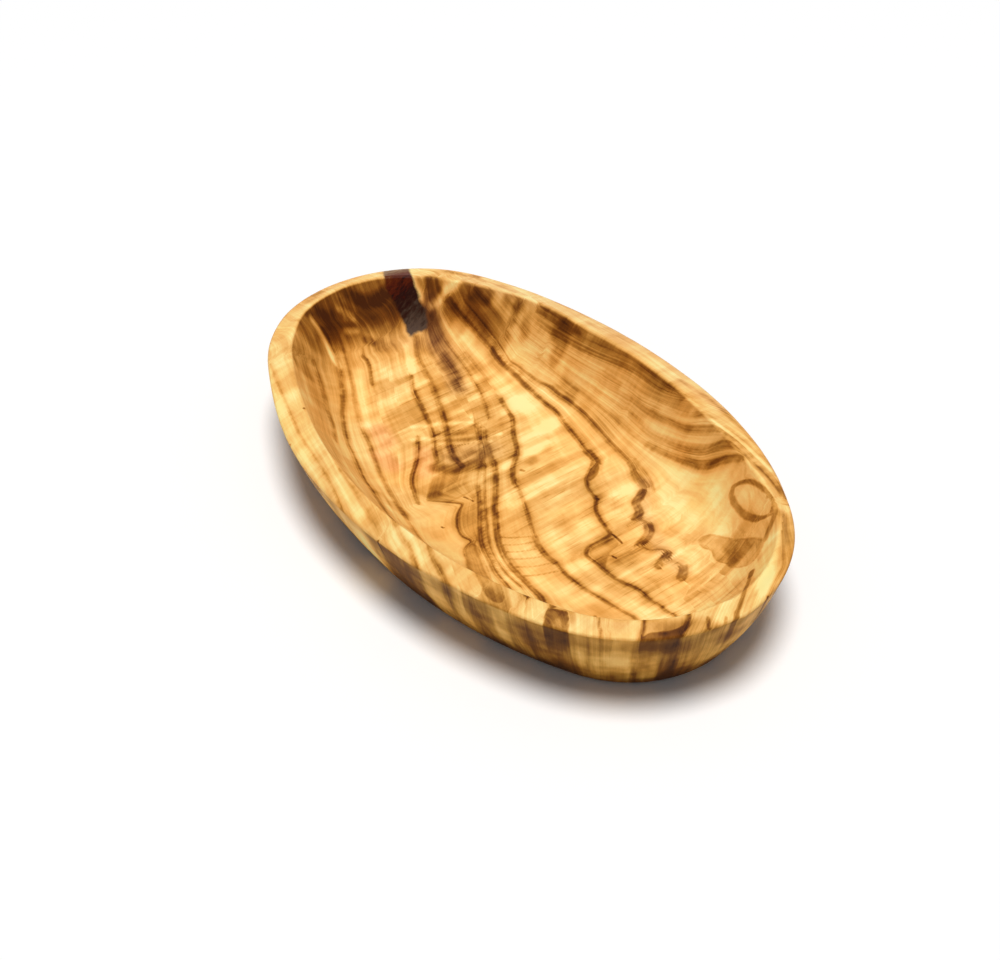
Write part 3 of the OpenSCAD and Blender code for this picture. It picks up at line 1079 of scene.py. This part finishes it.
# %% [markdown]
# ## Tints and flame
#
# Some spots have a hue of their own: oil leaves reddish ones, and smoky stains are greyer than the wood.
# Bright bands across the grain, the flame, show where the fibres dip, most in the middle of the floor.
# Both are laid on with the same soft brush, because the material only needs to know how much.

# %% Tints, reddish above zero and smoky below
tints = [
    (2.0, 2.5, 0.7, [(378, 430), (386, 442)]),
    (2.0, 2.5, 0.7, [(382, 456), (392, 466)]),
    (1.6, 2.5, 0.6, [(424, 452), (425, 472)]),
    (2.0, 2.5, -0.3, knot_smear),
    (3.0, 3.0, -0.2, [(455, 456), (487, 450)]),
    (2.5, 2.5, -0.3, [(470, 278), (560, 300), (650, 350), (720, 405)]),
    (1.5, 1.5, -0.2, [(645, 483), (640, 510), (652, 532), (666, 556), (683, 570)]),
]
tint = np.zeros(len(vertex_plan))
for half, softness, strength, pixels in tints:
    tint += strength * brushed(eased(plan_of(pixels)), half, softness)
print(len(tints), "tints")

# %% Where the flame shows, and where the wood is calm
flame_middle = [(440, 400), (500, 460), (560, 500), (620, 550), (680, 590)]
flame_full, flame_end, flame_limit = 6.0, 27.0, 40.0
rim_flame = 0.2
calm_middle = [(432, 515), (448, 540), (458, 570)]
calm_full, calm_end = 2.5, 7.5
flame_reach = distance_to(plan_of(flame_middle), vertex_plan, limit=flame_limit)
flame_share = fade(flame_reach, flame_full, flame_end) * faces_up
flame_share = np.maximum(flame_share, rim_flame * on_rim)
calm = fade(distance_to(plan_of(calm_middle), vertex_plan), calm_full, calm_end) * faces_up
print("The flame shows on", np.count_nonzero(flame_share > 0.5), "vertices")

# %% Keep all this on the mesh as attributes for the material
grain_attributes = {
    "ring": ring,
    "vein_side": vein_side,
    "vein_reach": vein_reach,
    "vein_half": vein_half,
    "vein_darkness": vein_darkness,
    "mark_edge": mark_edge,
    "mark_darkness": mark_darkness,
    "knot_edge": knot_edge,
    "knot_along": knot_along,
    "tone": tone,
    "tint": tint,
    "flame_share": flame_share,
    "calm": calm,
    "outside": outside,
}
for name, values in grain_attributes.items():
    mesh.attributes.new(name, "FLOAT", "POINT").data.foreach_set("value", values.astype(np.float32))
print("Kept", ", ".join(grain_attributes))

# %% [markdown]
# ## The wood's colours
#
# Oiled olive wood goes from cream through honey to almost black. A picture of wood could be wrapped round
# the dish, but it would stretch on the walls. Here one number, the darkness, gathers all that the grain
# does, and a colour ramp turns it into the wood's own colours, so each step can be changed alone.

# %% Colour ramps for the wood and the knot
wood_colours = [
    (0.00, (0.96, 0.84, 0.37)),
    (0.12, (0.94, 0.66, 0.24)),
    (0.26, (0.87, 0.475, 0.142)),
    (0.40, (0.69, 0.335, 0.075)),
    (0.56, (0.42, 0.178, 0.026)),
    (0.76, (0.18, 0.056, 0.006)),
    (1.00, (0.06, 0.015, 0.002)),
]
knot_colours = [
    (0.00, (0.30, 0.17, 0.08)),
    (0.10, (0.20, 0.10, 0.045)),
    (0.20, (0.12, 0.022, 0.002)),
    (0.36, (0.070, 0.008, 0.001)),
    (0.51, (0.014, 0.001, 0.0)),
    (0.62, (0.026, 0.006, 0.002)),
    (0.75, (0.050, 0.028, 0.018)),
    (0.85, (0.082, 0.050, 0.035)),
    (1.00, (0.10, 0.06, 0.036)),
]


def ramp(value, stops):
    """A colour ramp with the given stops."""
    made = add_node(value.id_data, "ShaderNodeValToRGB", {"Fac": value})
    band = made.color_ramp
    while len(band.elements) < len(stops):
        band.elements.new(1.0)
    for element, (place, colour) in zip(band.elements, stops):
        element.position = place
        element.color = (*colour, 1.0)
    return made.outputs["Color"]


print("The wood has", len(wood_colours), "tones and the knot has", len(knot_colours))

# %% [markdown]
# ## Patterns between the veins
#
# Between the veins the wood shows flame, streaks, single fibres, clouds and fine growth lines. They are
# too many to be drawn one by one, so noise makes them. What tells one from another is how far its noise
# is stretched along each axis. The growth lines follow the rings, because they read the ring's number.

# %% Patterns made of stretched noise
tree = olive_wood.node_tree
shader = tree.nodes["Principled BSDF"]
object_place = add_node(tree, "ShaderNodeTexCoord").outputs["Object"]
read = {}
for name in grain_attributes:
    read[name] = add_node(tree, "ShaderNodeAttribute", attribute_name=name).outputs["Fac"]


def stretched(*sizes):
    """Object coordinates in which a feature of the given sizes, in millimetres, is one unit."""
    scale = [1 / (size * MM) for size in sizes]
    return add_node(tree, "ShaderNodeMapping", {"Vector": object_place, "Scale": scale}).outputs[0]


def noise(vector, detail=2.0, roughness=0.5, **feeds):
    """Noise between about 0 and 1, of four dimensions where W is fed."""
    return add_node(
        tree,
        "ShaderNodeTexNoise",
        {"Vector": vector, "Scale": 1.0, "Detail": detail, "Roughness": roughness, **feeds},
        noise_dimensions="4D" if "W" in feeds else "3D",
    ).outputs["Fac"]


ring_offset, lines_per_ring = 0.45, 5.0
ring_shift = times(calc("FLOOR", read["ring"]), ring_offset)
flame = remap(noise(stretched(4.2, 26, 26), W=ring_shift), 0.34, 0.66, -1.0, 1.0, smooth=True)
streak = remap(noise(stretched(1.1, 16, 16), 2.0, 0.6, W=ring_shift), 0.35, 0.65, -1.0, 1.0)
fine_flame = noise(stretched(0.7, 9, 9))
fibre = noise(stretched(7, 0.35, 0.35), 2.0, 0.6)
cloud = noise(stretched(18, 8, 8))
blush = remap(noise(stretched(11, 14, 14)), 0.38, 0.62)
blotch = plus(noise(stretched(8, 8, 45)), noise(stretched(32, 12, 6)))
blotch = remap(blotch, 0.78, 1.22, 0.16, 0.4, smooth=True)
growth_axes = add_node(tree, "ShaderNodeSeparateXYZ", {0: stretched(30, 30, 30)}).outputs
growth_place = add_node(
    tree,
    "ShaderNodeCombineXYZ",
    {"X": growth_axes["X"], "Y": times(read["ring"], lines_per_ring), "Z": growth_axes["Z"]},
).outputs[0]
growth = noise(growth_place, 3.0, 0.6)
print("The wood has", len(tree.nodes), "nodes after its patterns")

# %% [markdown]
# ## The veins' ink
#
# A real vein is darkest along its middle, frays where fibres cross it, fades in places and has a brown
# halo on the side of the late wood. A line of one width and one tone would look printed. So the distance
# wanders a little with the streaks before it is turned into ink, and noise makes the ink fitful.

# %% Ink the veins by their distance
wander_limit, edge_allowance = 0.3, 0.3
fray, waver = 0.15, 0.1
halo_share, late_share = 0.6, 0.6
wander = times_plus(minus(fine_flame, 0.5), fray, times(streak, waver))
off_vein = calc("ABSOLUTE", plus(read["vein_side"], wander))
off_vein = larger(off_vein, minus(read["vein_reach"], wander_limit))
past_edge = minus(off_vein, plus(read["vein_half"], edge_allowance))
line = remap(past_edge, -0.5, 0.2, 1.0, 0.0, smooth=True)
halo = remap(past_edge, -0.2, 1.2, 1.0, 0.0, smooth=True)
late = remap(calc("FRACT", read["ring"]), 0.0, 0.5, 1.0, 0.0, smooth=True)
late = times(late, remap(read["vein_reach"], 0.3, 3.5, 1.0, 0.0))

fitful = remap(noise(stretched(4, 4, 4), 2.0, 0.6), 0.3, 0.6, 0.5, 1.0)
vein_show = times(read["vein_darkness"], fitful)
vein_show = times(vein_show, remap(read["outside"], 0, 1, 1.0, 0.6))
vein_show = times(vein_show, remap(fine_flame, 0.35, 0.6, 0.88, 1.04))
vein_ink = times(line, vein_show)
halo_ink = times(times_plus(halo, halo_share, times(late, late_share)), vein_show)
print("The wood has", len(tree.nodes), "nodes after its veins")

# %% [markdown]
# ## The patches' ink
#
# Patches are mottled, and their edges fray less than the veins'. On the outside they fade towards the
# foot, where the cut leaves the stained wood. Both are small steps on the same distance, so no second
# material is needed.

# %% Ink the patches and strokes
patch_fray = 0.8
mark_off = plus(read["mark_edge"], times(wander, patch_fray))
mottle = remap(noise(stretched(2.2, 2.2, 2.2), 3.0, 0.6), 0.35, 0.65, 0.8, 1.05)
mark_ink = times(remap(mark_off, -0.25, 0.2, 1.0, 0.0, smooth=True), read["mark_darkness"])
mark_ink = times(mark_ink, mottle)
height = over(add_node(tree, "ShaderNodeSeparateXYZ", {0: object_place}).outputs["Z"], MM)
fading = times(read["outside"], remap(height, 9, 20, 0.9, 0.3))
mark_ink = times(mark_ink, minus(1.0, fading))
print("The wood has", len(tree.nodes), "nodes after its patches")

# %% [markdown]
# ## From tone to darkness
#
# The wood between the veins has a tone of its own: a ground tone, the soft stains, and a share of each
# pattern. Where the flame is strong or the wood is calm or dark, the growth lines step back. The outside
# is blotchy, and darker near the foot as painted shade. Veins and patches then add their ink. Layers
# could be mixed as colours, but adding numbers keeps every mix inside the wood's own range.

# %% Add up the wood's tone
ground_tone = 0.2
flame_depth, streak_depth, hatch_depth = 0.16, 0.055, 0.12
fibre_depth, cloud_depth = 0.1, 0.42
outside_calm = 0.55
wood_tone = times_plus(read["tone"], remap(growth, 0.35, 0.65, 0.88, 1.1), ground_tone)
flame_tone = times_plus(streak, streak_depth, times(flame, flame_depth))
wood_tone = times_plus(flame_tone, remap(read["flame_share"], 0, 1, 0.28, 1.0), wood_tone)
growth_share = larger(read["flame_share"], times(read["outside"], outside_calm))
growth_share = remap(growth_share, 0, 1, 0.55, 0.22)
growth_share = times(growth_share, remap(read["tone"], 0.15, 0.5, 1.0, 0.45))
growth_share = times(growth_share, remap(read["calm"], 0, 1, 1.0, 0.3))
for pattern, depth in ((growth, growth_share), (fibre, fibre_depth), (cloud, cloud_depth)):
    wood_tone = times_plus(minus(pattern, 0.5), depth, wood_tone)
# Painted shade: the outside darkens towards the foot, where the overhang's shadow falls.
painted_foot_shade = remap(height, 1, 12, 0.26, 0.0)
wood_tone = times_plus(plus(blotch, painted_foot_shade), read["outside"], wood_tone)
hatch = times(remap(fine_flame, 0.58, 0.68), read["flame_share"])
wood_tone = times_plus(hatch, hatch_depth, wood_tone)
wood_tone = larger(wood_tone, 0.0)
print("The wood has", len(tree.nodes), "nodes after its tone")

# %% Add the ink
vein_depth, mark_depth, halo_depth = 0.43, 0.7, 0.26
ink = larger(times(vein_ink, vein_depth), times(mark_ink, mark_depth))
darkness = plus(times_plus(halo_ink, halo_depth, wood_tone), ink, clamp=True)
print("The wood has", len(tree.nodes), "nodes after its ink")

# %% [markdown]
# ## From darkness to colour
#
# Oil does not soak in evenly, so one board is honey in some places and amber in others. Two ramps that
# differ only a little are mixed by a large soft noise. Then the tints turn the hue, the outside's hue is
# turned a little towards yellow as painted shade, and the knot's own ramp takes over inside its ragged
# edge.

# %% Colour the wood
amber_green, amber_blue = 0.92, 0.8
# Painted shade colour: the outside's hue is turned a little towards yellow, the colour of its shade.
outside_shade_hue = 0.008
amber_colours = []
for place, (red, green, blue) in wood_colours:
    amber_colours.append((place, (red, green * amber_green, blue * amber_blue)))


def mixed(share, first, second):
    """A mix of two colours, which are inputs 6 and 7 of a Mix node."""
    return add_node(tree, "ShaderNodeMix", {0: share, 6: first, 7: second}, data_type="RGBA").outputs[2]


tinted = add_node(
    tree,
    "ShaderNodeHueSaturation",
    {
        "Hue": times_plus(read["outside"], outside_shade_hue, remap(read["tint"], 0, 1, 0.5, 0.482)),
        "Saturation": remap(read["tint"], -1, 0, 0.84, 1.0),
        "Value": remap(read["tint"], -1, 0, 0.9, 1.0),
        "Color": mixed(blush, ramp(darkness, wood_colours), ramp(darkness, amber_colours)),
    },
).outputs[0]
print("The wood has", len(tree.nodes), "nodes after its colours")

# %% Colour the knot
knot_wander = minus(noise(stretched(2.5, 2.5, 2.5), 4.0, 0.6), 0.5)
knot_wander = times(knot_wander, remap(read["outside"], 0, 1, 1.5, 5.0))
knot_mask = remap(plus(read["knot_edge"], knot_wander), -0.5, 0.5, 1.0, 0.0, smooth=True)
knot_streak = minus(noise(stretched(0.8, 3, 3), 3.0, 0.65), 0.5)
streak_shift, wander_shift = 0.7, 0.08
knot_place = times_plus(knot_wander, wander_shift, read["knot_along"])
knot_place = times_plus(knot_streak, streak_shift, knot_place)
final_colour = mixed(knot_mask, tinted, ramp(knot_place, knot_colours))
tree.links.new(final_colour, shader.inputs["Base Color"])
print("The wood has", len(tree.nodes), "nodes after its knot")

# %% [markdown]
# ## Gloss and fibres
#
# The oil makes pale wood a little glossier than dark veins, which drink more of it. Fibres stand up and
# veins lie lower by much less than a tenth of a millimetre, too fine for the mesh, so a bump gives them.
# Numbers that are the same all over are set on the shader itself.

# %% Gloss and relief
tree.links.new(remap(darkness, 0.1, 0.8, 0.42, 0.55), shader.inputs["Roughness"])
vein_sink = 0.5
relief = minus(fibre, times(vein_ink, vein_sink))
bump = add_node(tree, "ShaderNodeBump", {"Height": relief, "Strength": 0.12, "Distance": 0.2 * MM})
tree.links.new(bump.outputs[0], shader.inputs["Normal"])
shader.inputs["IOR"].default_value = 1.46
shader.inputs["Specular IOR Level"].default_value = 0.08
print("The finished wood has", len(tree.nodes), "nodes")

# %% [markdown]
# ## Floor and light
#
# The dish stands on a white floor. A large soft lamp hangs above it, a little to the camera's side, so
# the inside is lit, the outside leans into the shade and only a narrow soft shadow shows along the
# foot. Several lamps would give several shadows, so a white world fills the shade instead. It is weak
# for the light that falls on the dish, and white for the camera and for what the gloss mirrors.

# %% A plain floor
floor_reach = 0.9
floor_corners = [(-1, -1), (1, -1), (1, 1), (-1, 1)]
floor_points = [(x * floor_reach, y * floor_reach, 0.0) for x, y in floor_corners]
floor_mesh = bpy.data.meshes.new("floor")
floor_mesh.from_pydata(floor_points, [], [(0, 1, 2, 3)])
floor = put_in_scene("floor", floor_mesh)
floor_paint = bpy.data.materials.new("floor_paint")
floor_paint.use_nodes = True
floor_shader = floor_paint.node_tree.nodes["Principled BSDF"]
floor_shader.inputs["Base Color"].default_value = (0.96, 0.96, 0.96, 1)
floor_shader.inputs["Roughness"].default_value = 0.9
floor_shader.inputs["Specular IOR Level"].default_value = 0.0
floor_mesh.materials.append(floor_paint)
print("The floor is", 2 * floor_reach, "m wide")

# %% A soft lamp
lamp_distance = 6.0
lamp_elevation = math.radians(86)
lamp_data = bpy.data.lights.new("softbox", "AREA")
lamp_data.shape = "DISK"
lamp_data.size = 2.5
lamp_data.energy = 318
lamp = put_in_scene("softbox", lamp_data)
lamp.location = lamp_distance * Vector((
    math.sin(camera_azimuth) * math.cos(lamp_elevation),
    -math.cos(camera_azimuth) * math.cos(lamp_elevation),
    math.sin(lamp_elevation),
))
lamp.rotation_euler = (-lamp.location).to_track_quat("-Z", "Y").to_euler()
print("The lamp is", lamp_distance, "m away")

# %% A white world
fill_light = 0.2
world = bpy.data.worlds.new("studio")
bpy.context.scene.world = world
world.use_nodes = True
sky = world.node_tree.nodes["Background"]
sky.inputs["Color"].default_value = (1, 1, 1, 1)
rays = add_node(world.node_tree, "ShaderNodeLightPath").outputs
mirrored = larger(rays["Is Glossy Ray"], rays["Is Transmission Ray"])
seen = larger(rays["Is Camera Ray"], mirrored)
world.node_tree.links.new(remap(seen, 0, 1, fill_light, 1.0), sky.inputs["Strength"])
bpy.context.scene.view_settings.view_transform = "Standard"
print("The world fills the shade at", fill_light)
